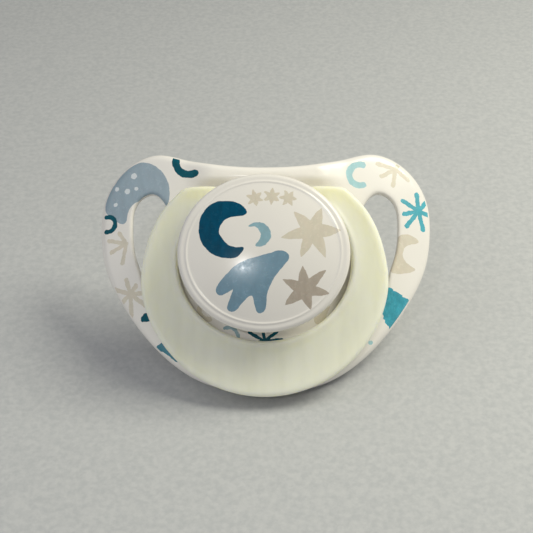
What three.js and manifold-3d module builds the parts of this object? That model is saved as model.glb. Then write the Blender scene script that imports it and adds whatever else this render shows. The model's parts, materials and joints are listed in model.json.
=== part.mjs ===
// An orthodontic baby pacifier, lying face up on a table.
//
// Every piece is drawn in the pacifier's own axes and the whole assembly is tipped once, at the end:
//   x  across the shield, to the right as the face is seen
//   y  up the shield, towards the nose
//   z  out of the shield's face; z = 0 is the middle of the face, and the teat points to -z
// The assembly then leans back until it rests on the teat's tip and the shield's lower edge, on z = 0.
// Millimetres throughout.

import * as THREE from "three";
import { mergeVertices } from "three/addons/utils/BufferGeometryUtils.js";
import Module from "manifold-3d";

const wasm = await Module();
wasm.setup();

// ---------------------------------------------------------------- driving dimensions

const GAP = 0.3; // left between two pieces that touch
const REACH = 30; // a cutting body runs at least this far past what it cuts
const ROUND = 48; // sides of a turned piece
const OUTLINE_POINTS = { shield: 80, vent: 30, ring: 72, ringHole: 28, teat: 28 };

// Shield: a curved heart-shaped plate. Half of each outline is listed, from the top to the bottom.
const SHIELD_THICKNESS = 2.2;
const SHIELD_CURVE_X = 60; // radius of the curve round the cheeks
const SHIELD_CURVE_Y = 150; // radius of the curve from nose to chin
const SHIELD_GRID = { area: [-31, 31, -25, 20], step: 1.7 };
const SHIELD_HALF_OUTLINE = [
  [0, 16.2],
  [10, 17.1],
  [15, 18.3],
  [19.3, 19.1],
  [24, 17.8],
  [27.4, 14.8],
  [29.6, 10.6],
  [30, 6],
  [28.9, -1.4],
  [26, -7.4],
  [20.7, -14.5],
  [15, -19.6],
  [8, -22.8],
  [0, -23.2],
];
const VENT_OUTLINE = [
  [20.4, 12],
  [22.8, 10.8],
  [23.9, 6.2],
  [23.4, 1.3],
  [21.9, -3.5],
  [19.6, -8.6],
  [18.2, -7.4],
  [17, -2.5],
  [16.5, 3.5],
  [17.5, 9.2],
];

// Brow: the raised strip above the ring's bar, which fades out into both lobes.
const BROW = { height: 1.2, foot: 12.3, rise: 2.4, halfWidth: 9, fade: 6 };

// Seat for the teat and the plug, in the middle of the shield.
const COLLAR = { radius: 11, tipRadius: 10.3, depth: 6.2, tipHeight: 1.2 };
const SEAT = {
  bore: 8.5,
  neckBore: 6.1,
  floor: -3.4,
  groove: 9.2,
  grooveLow: -1.5,
  grooveMid: -0.65,
  grooveHigh: -0.15,
};

// Ring: a dished D, cut off straight at the top, where it narrows to a round bar under the button.
const HINGE = { y: 10.7, z: 1.8, barRadius: 1.4, barSides: 24 };
const SADDLE = { x: 5.2, width: 2.4, length: 4.3, height: 3.2, offset: 0.15 };
const RING_GRID = { area: [-22, 22, -25, 13], step: 2 };
const RING_HALF_OUTLINE = [
  [0, 12.2],
  [7, 12.2],
  [13, 12.2],
  [14.8, 11.4],
  [17.1, 9.4],
  [19.9, 4.8],
  [21.3, 0.2],
  [21.8, -4],
  [20.8, -9.5],
  [17.8, -15.2],
  [12.6, -20.4],
  [6.5, -23.4],
  [0, -24.4],
];
const RING = {
  topY: 12.2,
  holeHalfWidth: 15.2,
  holeHalfHeight: 13.8,
  holeCentreY: -1,
  stripLow: 8.9, // lower side of the straight strip that closes the D
  stripGap: 7.5, // half the stretch of the strip where only the round bar runs
  thickness: 2.2,
  curve: 55, // radius of its bend round the shield
  flatHalfWidth: 4, // no bend this near the middle
  slope: 0.043, // fall from the bar to the bottom
  barOverlap: 1, // length of bar sunk into the strip at each end
};

// Teat: elliptical sections, each listed as
// [distance behind the face, half width, half height up, half height down, centre y].
const TEAT_WALL = 1.4;
const TEAT_FLAT = 0.8; // the bulb's tongue side is cut flat at this share of its depth
const TEAT_FLAT_FROM = 15; // distance behind the face where the flat begins
const TEAT_FLANGE = { radius: 8.2, front: -1.5, back: -3.1, overlap: 0.4 };
const TEAT_NECK = 5.6;
const TEAT_SECTIONS = [
  [3.1, TEAT_NECK, TEAT_NECK, TEAT_NECK, 0],
  [6.5, 5.4, 5.3, 5.3, 0],
  [10, 4.9, 4.4, 4.4, 0],
  [13.5, 5.3, 4.2, 4.2, 0.3],
  [16.5, 6.6, 4.8, 5, 0.9],
  [20, 8.1, 5.8, 5.2, 1.8],
  [23.5, 8.9, 6.2, 5.2, 2.8],
  [27, 8.8, 5.8, 5.2, 3.9],
  [29.5, 8, 4.8, 4.8, 4.8],
  [31.2, 6.6, 3.4, 3.8, 5.4],
  [32.1, 4.2, 1.8, 2.1, 5.8],
];

// Plug: holds the teat in its seat, caps the ring's bar and carries the button's cap.
const BUTTON = { halfWidth: 14.8, halfHeight: 13.65 };
const PLUG = { skirt: 8.2, peg: 3.4, pegEnd: -6.6, pegBevel: 0.5, core: 2.2, coreFloor: -5.6 };
const PLUG_BEAD = { radius: 8.9, mid: -0.85, high: -0.45 };
const HEAD = { low: 4.3, top: 5.6, inset: 0.3, underBevel: 0.5 };
const SOCKET = { radius: 6.7, floor: 0.6, groove: 7.1, grooveHeights: [2.3, 2.7, 3.1, 3.5] };
const CAP = { edgeTop: 7.15, crown: 8.9, fillet: 0.85, shell: 1.3 };
const SPIGOT = { radius: 6.4, bore: 5.1, end: 1.8, bevel: 0.3, bead: 6.75, beadHeights: [2.6, 2.8, 3, 3.3] };

// ---------------------------------------------------------------- geometry helpers

// A closed three.js geometry as a manifold-3d solid, facing outwards.
function solid(geometry) {
  const bare = geometry.index ? geometry.toNonIndexed() : geometry.clone();
  bare.deleteAttribute("normal");
  bare.deleteAttribute("uv");
  const merged = mergeVertices(bare, 1e-4);
  const triangles = new Uint32Array(merged.index.array);
  const vertices = merged.attributes.position.array;
  const closed = () =>
    new wasm.Manifold(new wasm.Mesh({ numProp: 3, vertProperties: vertices, triVerts: triangles }));
  const made = closed();
  if (made.volume() >= 0) return made;
  triangles.reverse();
  return closed();
}

function geometryOf(manifold) {
  const mesh = manifold.getMesh();
  const geometry = new THREE.BufferGeometry();
  geometry.setAttribute("position", new THREE.BufferAttribute(mesh.vertProperties, 3));
  geometry.setIndex(new THREE.BufferAttribute(mesh.triVerts, 1));
  return geometry;
}

// A piece turned about z from a profile of [radius, z] points.
function turned(profile, sides = ROUND) {
  const points = profile.map(([radius, z]) => new THREE.Vector2(radius, z));
  return new THREE.LatheGeometry(points, sides).rotateX(Math.PI / 2);
}

// The same, flattened to the button's oval.
function turnedOval(profile) {
  return turned(profile).scale(1, BUTTON.halfHeight / BUTTON.halfWidth, 1);
}

// A smooth closed outline through the listed points.
function closedCurve(points, divisions) {
  const path = new THREE.CatmullRomCurve3(
    points.map(([x, y]) => new THREE.Vector3(x, y, 0)),
    true,
    "catmullrom",
    0.5,
  );
  return path.getPoints(divisions).slice(0, -1).map((p) => new THREE.Vector2(p.x, p.y));
}

const mirrored = (points) => points.map(([x, y]) => [-x, y]);

// The outline listed for one half, made whole.
function wholeOutline(half) {
  return [...half, ...mirrored(half.slice(1, -1)).reverse()];
}

// A plate between two height functions over a rectangle, on a square grid.
function plate(front, back, { area, step }) {
  const [xMin, xMax, yMin, yMax] = area;
  const columns = Math.ceil((xMax - xMin) / step);
  const rows = Math.ceil((yMax - yMin) / step);
  const at = (i, j) => [xMin + ((xMax - xMin) * i) / columns, yMin + ((yMax - yMin) * j) / rows];
  const positions = [];
  const indices = [];
  const layer = (height) => {
    const start = positions.length / 3;
    for (let j = 0; j <= rows; j++) {
      for (let i = 0; i <= columns; i++) {
        const [x, y] = at(i, j);
        positions.push(x, y, height(x, y));
      }
    }
    return start;
  };
  const frontStart = layer(front);
  const backStart = layer(back);
  const quad = (a, b, c, d) => indices.push(a, b, c, a, c, d);
  const node = (start, i, j) => start + j * (columns + 1) + i;
  for (let j = 0; j < rows; j++) {
    for (let i = 0; i < columns; i++) {
      const corners = (start) => [
        node(start, i, j),
        node(start, i + 1, j),
        node(start, i + 1, j + 1),
        node(start, i, j + 1),
      ];
      quad(...corners(frontStart));
      quad(...corners(backStart).reverse());
    }
  }
  const wall = (i0, j0, i1, j1) => {
    const [f0, f1] = [node(frontStart, i0, j0), node(frontStart, i1, j1)];
    quad(f0, node(backStart, i0, j0), node(backStart, i1, j1), f1);
  };
  for (let i = 0; i < columns; i++) {
    wall(i, 0, i + 1, 0);
    wall(i + 1, rows, i, rows);
  }
  for (let j = 0; j < rows; j++) {
    wall(0, j + 1, 0, j);
    wall(columns, j, columns, j + 1);
  }
  const geometry = new THREE.BufferGeometry();
  geometry.setAttribute("position", new THREE.Float32BufferAttribute(positions, 3));
  geometry.setIndex(indices);
  return solid(geometry);
}

// A skin through closed sections, each a list of Vector3, closed with a flat face at both ends.
function loft(sections) {
  const sides = sections[0].length;
  const positions = sections.flat().flatMap((p) => [p.x, p.y, p.z]);
  const indices = [];
  for (let s = 0; s < sections.length - 1; s++) {
    for (let k = 0; k < sides; k++) {
      const [a, b] = [s * sides + k, s * sides + ((k + 1) % sides)];
      indices.push(a, b, b + sides, a, b + sides, a + sides);
    }
  }
  const end = (section, start, flip) => {
    const middle = section.reduce((sum, p) => sum.add(p), new THREE.Vector3()).divideScalar(sides);
    const hub = positions.push(middle.x, middle.y, middle.z) / 3 - 1;
    for (let k = 0; k < sides; k++) {
      const pair = [start + k, start + ((k + 1) % sides)];
      indices.push(hub, ...(flip ? pair.reverse() : pair));
    }
  };
  end(sections[0], 0, true);
  end(sections.at(-1), (sections.length - 1) * sides, false);
  const geometry = new THREE.BufferGeometry();
  geometry.setAttribute("position", new THREE.Float32BufferAttribute(positions, 3));
  geometry.setIndex(indices);
  return solid(geometry);
}

// A straight prism through the outline, tall enough to cut any plate here.
function prism(outline) {
  return loft([-REACH, REACH].map((z) => outline.map(({ x, y }) => new THREE.Vector3(x, y, z))));
}

const smooth = (t) => {
  const c = THREE.MathUtils.clamp(t, 0, 1);
  return c * c * (3 - 2 * c);
};

// ---------------------------------------------------------------- shield

const shieldBase = (x, y) => -(x * x) / (2 * SHIELD_CURVE_X) - (y * y) / (2 * SHIELD_CURVE_Y);

function brow(x, y) {
  const up = smooth((y - BROW.foot) / BROW.rise);
  const across = 1 - smooth((Math.abs(x) - BROW.halfWidth) / BROW.fade);
  return BROW.height * up * across;
}

const shieldFront = (x, y) => shieldBase(x, y) + brow(x, y);
const shieldBack = (x, y) => shieldBase(x, y) - SHIELD_THICKNESS;

// A round rod on the hinge's axis.
function hingeRod(radius, length) {
  return solid(
    new THREE.CylinderGeometry(radius, radius, length, HINGE.barSides)
      .rotateZ(Math.PI / 2)
      .translate(0, HINGE.y, HINGE.z),
  );
}

// Two blocks on the face with a round groove each, in which the ring's bar turns.
function hingeSaddles() {
  const block = (x) =>
    solid(
      new THREE.BoxGeometry(SADDLE.width, SADDLE.length, SADDLE.height)
        .translate(x, HINGE.y + SADDLE.offset, HINGE.z - SADDLE.height / 2),
    );
  return block(SADDLE.x).add(block(-SADDLE.x)).subtract(hingeRod(HINGE.barRadius + GAP, REACH));
}

function makeShield() {
  const outline = closedCurve(wholeOutline(SHIELD_HALF_OUTLINE), OUTLINE_POINTS.shield);
  const vent = (points) => prism(closedCurve(points, OUTLINE_POINTS.vent));
  const [left, right] = [vent(mirrored(VENT_OUTLINE)), vent(VENT_OUTLINE)];
  const skin = plate(shieldFront, shieldBack, SHIELD_GRID);
  const collar = solid(
    turned([
      [0, -COLLAR.depth],
      [COLLAR.tipRadius, -COLLAR.depth],
      [COLLAR.radius, -COLLAR.depth + COLLAR.tipHeight],
      [COLLAR.radius, -SHIELD_THICKNESS / 2],
      [0, -SHIELD_THICKNESS / 2],
    ]),
  );
  const seat = solid(
    turned([
      [0, -REACH],
      [SEAT.neckBore, -REACH],
      [SEAT.neckBore, SEAT.floor],
      [SEAT.bore, SEAT.floor],
      [SEAT.bore, SEAT.grooveLow],
      [SEAT.groove, SEAT.grooveLow],
      [SEAT.groove, SEAT.grooveMid],
      [SEAT.bore, SEAT.grooveHigh],
      [SEAT.bore, REACH],
      [0, REACH],
    ]),
  );
  const pierced = skin.intersect(prism(outline)).subtract(left).subtract(right);
  return pierced.add(collar).add(hingeSaddles()).subtract(seat);
}

// ---------------------------------------------------------------- ring

function ringMiddle(x, y) {
  const out = Math.max(0, Math.abs(x) - RING.flatHalfWidth);
  return HINGE.z - (out * out) / (2 * RING.curve) - RING.slope * (HINGE.y - y);
}

// The opening inside the D: an oval, cut off straight below the strip.
function ringHole() {
  const { holeHalfWidth, holeHalfHeight, holeCentreY, stripLow } = RING;
  const turn = Math.asin((stripLow - holeCentreY) / holeHalfHeight);
  const [from, to] = [Math.PI - turn, 2 * Math.PI + turn];
  const shape = new THREE.Shape();
  shape.absellipse(0, holeCentreY, holeHalfWidth, holeHalfHeight, from, to, false, 0);
  return shape.getPoints(OUTLINE_POINTS.ringHole);
}

function makeRing() {
  const half = RING.thickness / 2;
  const front = (x, y) => ringMiddle(x, y) + half;
  const back = (x, y) => ringMiddle(x, y) - half;
  const skin = plate(front, back, RING_GRID);
  const gapHeight = 2 * (RING.topY - RING.stripLow);
  const barOpening = solid(
    new THREE.BoxGeometry(2 * RING.stripGap, gapHeight, 2 * REACH).translate(0, HINGE.y, 0),
  );
  const bar = hingeRod(HINGE.barRadius, 2 * (RING.stripGap + RING.barOverlap));
  const outline = closedCurve(wholeOutline(RING_HALF_OUTLINE), OUTLINE_POINTS.ring);
  return skin.intersect(prism(outline)).subtract(prism(ringHole())).subtract(barOpening).add(bar);
}

// ---------------------------------------------------------------- teat

// One section of the teat, drawn in by the given wall.
function teatSection([depth, halfWidth, up, down, centreY], wall, sides = OUTLINE_POINTS.teat) {
  const points = [];
  for (let k = 0; k < sides; k++) {
    const angle = (2 * Math.PI * k) / sides;
    const [c, s] = [Math.cos(angle), Math.sin(angle)];
    const halfHeight = (s > 0 ? up : down) - wall;
    const flat = depth > TEAT_FLAT_FROM ? TEAT_FLAT : 1;
    points.push(new THREE.Vector3((halfWidth - wall) * c, centreY + halfHeight * Math.max(s, -flat), -depth));
  }
  return points;
}

function makeTeat() {
  const outside = loft(TEAT_SECTIONS.map((section) => teatSection(section, 0)));
  const hollow = TEAT_SECTIONS.slice(1, -2).map((section) => teatSection(section, TEAT_WALL));
  const mouth = [0, TEAT_NECK, TEAT_NECK, TEAT_NECK, 0];
  const inside = loft([teatSection(mouth, TEAT_WALL), ...hollow]);
  const flange = solid(
    turned([
      [0, TEAT_FLANGE.back - TEAT_FLANGE.overlap],
      [TEAT_NECK, TEAT_FLANGE.back - TEAT_FLANGE.overlap],
      [TEAT_NECK, TEAT_FLANGE.back],
      [TEAT_FLANGE.radius, TEAT_FLANGE.back],
      [TEAT_FLANGE.radius, TEAT_FLANGE.front],
      [0, TEAT_FLANGE.front],
    ]),
  );
  return outside.add(flange).subtract(inside);
}

// ---------------------------------------------------------------- plug and button cap

// A ridge round a turned piece: foot, crest, crest, foot, at the four listed heights.
function ridge(foot, crest, [start, up, down, end]) {
  return [
    [foot, start],
    [crest, up],
    [crest, down],
    [foot, end],
  ];
}

function makePlug() {
  const stem = solid(
    turned([
      [0, PLUG.pegEnd],
      [PLUG.peg - PLUG.pegBevel, PLUG.pegEnd],
      [PLUG.peg, PLUG.pegEnd + PLUG.pegBevel],
      [PLUG.peg, TEAT_FLANGE.front + GAP],
      [PLUG.skirt, TEAT_FLANGE.front + GAP],
      [PLUG_BEAD.radius, PLUG_BEAD.mid],
      [PLUG.skirt, PLUG_BEAD.high],
      [PLUG.skirt, HEAD.top],
      [0, HEAD.top],
    ]),
  );
  const edge = BUTTON.halfWidth - HEAD.inset;
  const head = solid(
    turnedOval([
      [0, HEAD.low],
      [edge - HEAD.underBevel, HEAD.low],
      [edge, HEAD.low + HEAD.underBevel],
      [edge, HEAD.top],
      [0, HEAD.top],
    ]),
  );
  const socket = solid(
    turned([
      [0, PLUG.coreFloor],
      [PLUG.core, PLUG.coreFloor],
      [PLUG.core, SOCKET.floor],
      [SOCKET.radius, SOCKET.floor],
      ...ridge(SOCKET.radius, SOCKET.groove, SOCKET.grooveHeights),
      [SOCKET.radius, REACH],
      [0, REACH],
    ]),
  );
  return stem.add(head).subtract(socket);
}

// The button's crown from its edge to its middle, as fractions of the radius, on the given skin.
function crownProfile(radius, edge) {
  return [0.85, 0.65, 0.4, 0.2, 0].map((r) => [radius * r, edge + (CAP.crown - CAP.edgeTop) * (1 - r * r)]);
}

// A quarter round from the upright wall at the given radius over to the crown.
function edgeRound(radius, top, size) {
  return [0, 1, 2, 3, 4].map((step) => {
    const angle = (step / 4) * (Math.PI / 2);
    return [radius - size * (1 - Math.cos(angle)), top - size * (1 - Math.sin(angle))];
  });
}

function makeButtonCap() {
  const radius = BUTTON.halfWidth;
  const low = HEAD.top + GAP;
  const dome = solid(
    turnedOval([
      [0, low],
      [radius, low],
      ...edgeRound(radius, CAP.edgeTop, CAP.fillet),
      ...crownProfile(radius, CAP.edgeTop),
    ]),
  );
  const inside = radius - CAP.shell;
  const hollow = solid(
    turnedOval([
      [0, low - CAP.shell],
      [inside, low - CAP.shell],
      ...crownProfile(inside, CAP.edgeTop - CAP.shell),
    ]),
  );
  const spigot = solid(
    turned([
      [SPIGOT.bore, SPIGOT.end],
      [SPIGOT.radius - SPIGOT.bevel, SPIGOT.end],
      [SPIGOT.radius, SPIGOT.end + SPIGOT.bevel],
      ...ridge(SPIGOT.radius, SPIGOT.bead, SPIGOT.beadHeights),
      [SPIGOT.radius, CAP.edgeTop],
      [SPIGOT.bore, CAP.edgeTop],
      [SPIGOT.bore, SPIGOT.end],
    ]),
  );
  return dome.subtract(hollow).add(spigot);
}

// ---------------------------------------------------------------- assembly

const MATERIALS = {
  white: { color: 0xeeebe6, roughness: 0.28, metalness: 0 },
  cream: { color: 0xd9dac0, roughness: 0.42, metalness: 0 },
  silicone: { color: 0xe9e4d6, roughness: 0.3, metalness: 0 },
};

const pacifier = new THREE.Group();

function addPiece(name, manifold, finish) {
  const mesh = new THREE.Mesh(geometryOf(manifold), new THREE.MeshStandardMaterial(MATERIALS[finish]));
  mesh.name = name;
  pacifier.add(mesh);
  return mesh;
}

const shield = addPiece("shield", makeShield(), "white");
const teat = addPiece("teat", makeTeat(), "silicone");
addPiece("plug", makePlug(), "white");
addPiece("button_cap", makeButtonCap(), "white");
addPiece("ring", makeRing(), "cream");

const LEAN_SEARCH = { range: [0.3, 1.2], steps: 40 };

// Height of a mesh's lowest point once the assembly leans back by the given angle.
function lowestPoint(mesh, lean) {
  const { array } = mesh.geometry.attributes.position;
  let lowest = Infinity;
  for (let i = 0; i < array.length; i += 3) {
    lowest = Math.min(lowest, array[i + 1] * Math.sin(lean) + array[i + 2] * Math.cos(lean));
  }
  return lowest;
}

// The lean at which the teat's tip and the shield's lower edge touch the table together.
function restLean() {
  let [low, high] = LEAN_SEARCH.range;
  for (let step = 0; step < LEAN_SEARCH.steps; step++) {
    const lean = (low + high) / 2;
    if (lowestPoint(shield, lean) > lowestPoint(teat, lean)) low = lean;
    else high = lean;
  }
  return (low + high) / 2;
}

pacifier.rotation.x = restLean();
const box = new THREE.Box3().setFromObject(pacifier, true);
pacifier.position.set(0, -(box.min.y + box.max.y) / 2, -box.min.z);

export default pacifier;
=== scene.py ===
"""Looks of the pacifier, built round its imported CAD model.

Every shape is written in the pacifier's own axes, in millimetres: x across the shield, y up it towards the
nose, z out of its face, with the teat towards -z. to_row() turns that into the model's frame, in metres.
"""

import json
import math

import bmesh
import bpy
import numpy as np
from mathutils import Matrix, Vector
from mathutils.geometry import delaunay_2d_cdt
from mathutils.kdtree import KDTree


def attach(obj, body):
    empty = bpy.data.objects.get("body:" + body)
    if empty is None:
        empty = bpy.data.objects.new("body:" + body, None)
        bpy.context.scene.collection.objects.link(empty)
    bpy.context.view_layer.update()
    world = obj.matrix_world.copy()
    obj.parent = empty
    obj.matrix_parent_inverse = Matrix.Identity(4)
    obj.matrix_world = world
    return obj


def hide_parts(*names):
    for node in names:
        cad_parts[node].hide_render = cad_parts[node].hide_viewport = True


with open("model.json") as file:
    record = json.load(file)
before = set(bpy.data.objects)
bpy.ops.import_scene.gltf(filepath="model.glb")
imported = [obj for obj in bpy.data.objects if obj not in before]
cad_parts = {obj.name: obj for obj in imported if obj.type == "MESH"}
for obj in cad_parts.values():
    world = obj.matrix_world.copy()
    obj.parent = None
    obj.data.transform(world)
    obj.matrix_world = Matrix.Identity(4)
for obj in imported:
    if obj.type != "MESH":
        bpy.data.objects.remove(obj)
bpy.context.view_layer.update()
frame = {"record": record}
rng = np.random.default_rng(11)

MM = 0.001
FULL_TURN = 2 * math.pi

# ---------------- driving dimensions, in millimetres
# They are the CAD model's, but for the shield's upper lobes and the ring's upper corners, which follow the
# real outline more closely.

HINGE = np.array([0.0, 10.7, 1.8])  # where the bar's line crosses the middle
BAR_RADIUS = 1.4

# Shield: half of its outline, from the top to the bottom, and the whole outline of the right vent.
SHIELD_HALF = [
    (0, 16.2), (10, 17.1), (15, 18.4), (19.3, 19.4), (24, 18.1), (27.5, 15), (29.6, 10.6),
    (30, 6), (28.9, -1.4), (26, -7.4), (20.7, -14.5), (15, -19.6), (8, -22.8), (0, -23.2),
]
VENT = [
    (20.4, 12), (22.8, 10.8), (23.9, 6.2), (23.4, 1.3), (21.9, -3.5),
    (19.6, -8.6), (18.2, -7.4), (17, -2.5), (16.5, 3.5), (17.5, 9.2),
]
THICKNESS = 2.2
CURVE_ACROSS, CURVE_UP = 60.0, 150.0  # radii of the plate's curves, side to side and nose to chin
BROW_HEIGHT = 1.2  # of the brow above the ring's bar
BROW_FOOT, BROW_RISE = 12.3, 2.4  # where it starts and how soon it is full, going up
BROW_HALF, BROW_FADE = 9.0, 6.0  # half its width, and how soon it fades at the sides
BORE, NECK_BORE = 8.5, 6.1  # radii of the plug's seat and of the hole behind it
SEAT_FLOOR = -3.4
COLLAR, COLLAR_TIP, COLLAR_DEPTH = 11.0, 10.3, 6.2  # radii behind the plate and at its end, and its depth

# Button: an oval, wider than it is high.
BUTTON_RADIUS = 14.8
BUTTON_SQUASH = 13.65 / BUTTON_RADIUS
CROWN = 8.9  # height of its middle

# Ring: half of its outline, from the top to the bottom, and its hole, an ellipse cut off straight.
RING_HALF = [
    (0, 12.2), (7, 12.2), (13, 12.2), (14.1, 12), (15.1, 11.2), (17.1, 9.3), (19.9, 4.8), (21.3, 0.2),
    (21.8, -4), (20.8, -9.5), (17.8, -15.2), (12.6, -20.4), (6.5, -23.4), (0, -24.4),
]
RING_HOLE = {"middle": -1.0, "half_width": 15.2, "half_height": 13.8, "top": 8.9}
RING_SLOPE = 0.043  # how steeply it falls from its bar to its bottom
RING_CURVE = 55.0  # radius of its bend round the shield
RING_FLAT = 4.0  # no bend this near the middle

# ---------------- from the pacifier's axes to the model's

record = frame["record"]
hinge_place = np.array(record["behaviour"]["joints"][0]["pos_m"])
land_axis = next(m["axis"] for m in record["mounts"] if m["name"] == "ring_strap_land")
LEAN = math.atan2(-land_axis[1], land_axis[2]) - math.atan(RING_SLOPE)
TURN = np.array(Matrix.Rotation(LEAN, 3, "X"))


def to_row(points):
    """Points in the pacifier's axes, in millimetres, as points in the model's frame, in metres."""
    return (np.asarray(points, float) - HINGE) @ TURN.T * MM + hinge_place


def smooth(t):
    """A soft step from 0 to 1."""
    t = np.clip(t, 0, 1)
    return t * t * (3 - 2 * t)


def hump(x, middle, width):
    """A soft hump of height 1."""
    return np.exp(-(((x - middle) / width) ** 2))


# ---------------- flat curves


def spline(points, per_span=24):
    """A closed cubic spline through the points."""
    p = np.array(points, float)
    n = len(p)
    span = np.linalg.norm(np.roll(p, -1, 0) - p, axis=1)
    system = np.zeros((n, n))
    right = np.zeros((n, 2))
    for i in range(n):
        before, after = span[i - 1], span[i]
        system[i, i - 1] += before
        system[i, i] += 2 * (before + after)
        system[i, (i + 1) % n] += after
        right[i] = 6 * ((p[(i + 1) % n] - p[i]) / after - (p[i] - p[i - 1]) / before)
    bend = np.linalg.solve(system, right)
    out = []
    for i in range(n):
        j = (i + 1) % n
        for t in np.arange(per_span) / per_span:
            a, b = 1 - t, t
            out.append(
                a * p[i] + b * p[j] + ((a**3 - a) * bend[i] + (b**3 - b) * bend[j]) * span[i] ** 2 / 6
            )
    return np.array(out)


def even(loop, step):
    """The same closed line with its points evenly spaced."""
    closed = np.vstack([loop, loop[:1]])
    run = np.r_[0, np.cumsum(np.linalg.norm(np.diff(closed, axis=0), axis=1))]
    count = max(8, round(run[-1] / step))
    at = np.linspace(0, run[-1], count, endpoint=False)
    return np.column_stack([np.interp(at, run, closed[:, k]) for k in (0, 1)])


def area(loop):
    """The area in the loop, negative if it runs clockwise."""
    x, y = loop[:, 0], loop[:, 1]
    return 0.5 * np.sum(x * np.roll(y, -1) - y * np.roll(x, -1))


def counter_clockwise(loop):
    return loop if area(loop) > 0 else loop[::-1]


def inward(loop):
    """The unit normals of a counter-clockwise loop, pointing into it."""
    along = np.roll(loop, -1, 0) - np.roll(loop, 1, 0)
    along /= np.linalg.norm(along, axis=1)[:, None]
    return np.column_stack([-along[:, 1], along[:, 0]])


def mirrored(half):
    """A whole outline from its right half, whose first and last points are on the middle line."""
    return half + [(-x, y) for x, y in half[-2:0:-1]]


def bezier(start, control, end, t):
    return (1 - t) ** 2 * start + 2 * t * (1 - t) * control + t * t * end


def circle(radius, count=96):
    a = np.arange(count) * FULL_TURN / count
    return np.column_stack([radius * np.cos(a), radius * np.sin(a)])


def inside(points, loop):
    """Whether each point lies in the closed loop."""
    points = np.asarray(points, float)
    x, y = points[:, 0], points[:, 1]
    hit = np.zeros(len(points), bool)
    (left, bottom), (right, top) = loop.min(axis=0), loop.max(axis=0)
    near = np.flatnonzero((x >= left) & (x <= right) & (y >= bottom) & (y <= top))
    if len(near) == 0:
        return hit
    x, y = x[near], y[near]
    odd = np.zeros(len(near), bool)
    for a, b in zip(loop, np.roll(loop, -1, 0)):
        if a[1] == b[1]:
            continue
        across = (a[1] > y) != (b[1] > y)
        odd ^= across & (x < (b[0] - a[0]) * (y - a[1]) / (b[1] - a[1]) + a[0])
    hit[near] = odd
    return hit


def feet(points, loop, normals, batch=2000):
    """For each point, the nearest point on the loop, the loop's normal there and the distance.

    The points are taken in batches, to save memory.
    """
    points = np.asarray(points, float)
    start, end = loop, np.roll(loop, -1, 0)
    leg = end - start
    length2 = np.sum(leg**2, axis=1)
    foot = np.zeros_like(points)
    normal = np.zeros_like(points)
    distance = np.zeros(len(points))
    for low in range(0, len(points), batch):
        here = slice(low, low + batch)
        some = points[here]
        t = np.clip(np.sum((some[:, None] - start) * leg, axis=2) / length2, 0, 1)
        gap = np.linalg.norm(some[:, None] - start - t[..., None] * leg, axis=2)
        best = np.argmin(gap, axis=1)
        rows = np.arange(len(some))
        part = t[rows, best][:, None]
        foot[here] = start[best] + part * leg[best]
        mixed = normals[best] * (1 - part) + normals[(best + 1) % len(loop)] * part
        normal[here] = mixed / np.linalg.norm(mixed, axis=1)[:, None]
        distance[here] = gap[rows, best]
    return foot, normal, distance


# ---------------- skins


def new_object(name, data):
    made = bpy.data.objects.new(name, data)
    bpy.context.scene.collection.objects.link(made)
    return made


class Skin:
    """A mesh that is built up ring by ring in the pacifier's axes."""

    def __init__(self):
        self.points = []
        self.faces = []
        self.inks = []

    def add(self, points):
        """Adds the points and returns their numbers."""
        start = len(self.points)
        self.points.extend(tuple(map(float, p)) for p in points)
        return list(range(start, len(self.points)))

    def lift(self, flat, height):
        """Adds the flat places at their height, or heights, and returns their numbers."""
        return self.add(np.column_stack([flat, np.broadcast_to(height, len(flat))]))

    def face(self, corners, ink=0):
        self.faces.append(tuple(corners))
        self.inks.append(ink)

    def bridge(self, a, b):
        """Joins two rings of as many points."""
        for i in range(len(a)):
            j = (i + 1) % len(a)
            self.face((a[i], a[j], b[j], b[i]))

    def chain(self, rings):
        for a, b in zip(rings, rings[1:]):
            self.bridge(a, b)

    def fan(self, ring, hub):
        """Joins a ring to one point."""
        for i in range(len(ring)):
            self.face((ring[i], ring[(i + 1) % len(ring)], hub))

    def flat(self, ring):
        """The ring's places in x and y."""
        return np.array([self.points[i][:2] for i in ring])

    def build(self, name, materials, body, replaces=(), crease=40):
        """Makes the piece, with sharp edges where two faces meet at more than the crease, in degrees."""
        mesh = bpy.data.meshes.new(name)
        mesh.from_pydata(to_row(self.points).tolist(), [], self.faces)
        for material in materials:
            mesh.materials.append(material)
        mesh.polygons.foreach_set("material_index", self.inks)
        mesh.polygons.foreach_set("use_smooth", [True] * len(self.faces))
        work = bmesh.new()
        work.from_mesh(mesh)
        bmesh.ops.recalc_face_normals(work, faces=work.faces)
        if work.calc_volume(signed=True) < 0:
            bmesh.ops.reverse_faces(work, faces=work.faces)
        work.to_mesh(mesh)
        work.free()
        mesh.set_sharp_from_angle(angle=math.radians(crease))
        piece = new_object(name, mesh)
        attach(piece, body)
        if replaces:
            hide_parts(*replaces)


GRID_CLEARANCE = 0.45  # no grid point this near a line, as a share of the grid's step
SAME_POINT = 1e-7


def within(points, domain):
    """Whether each point lies inside the domain's first loop and outside its others."""
    keep = inside(points, domain[0])
    for hole in domain[1:]:
        keep &= ~inside(points, hole)
    return keep


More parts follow.
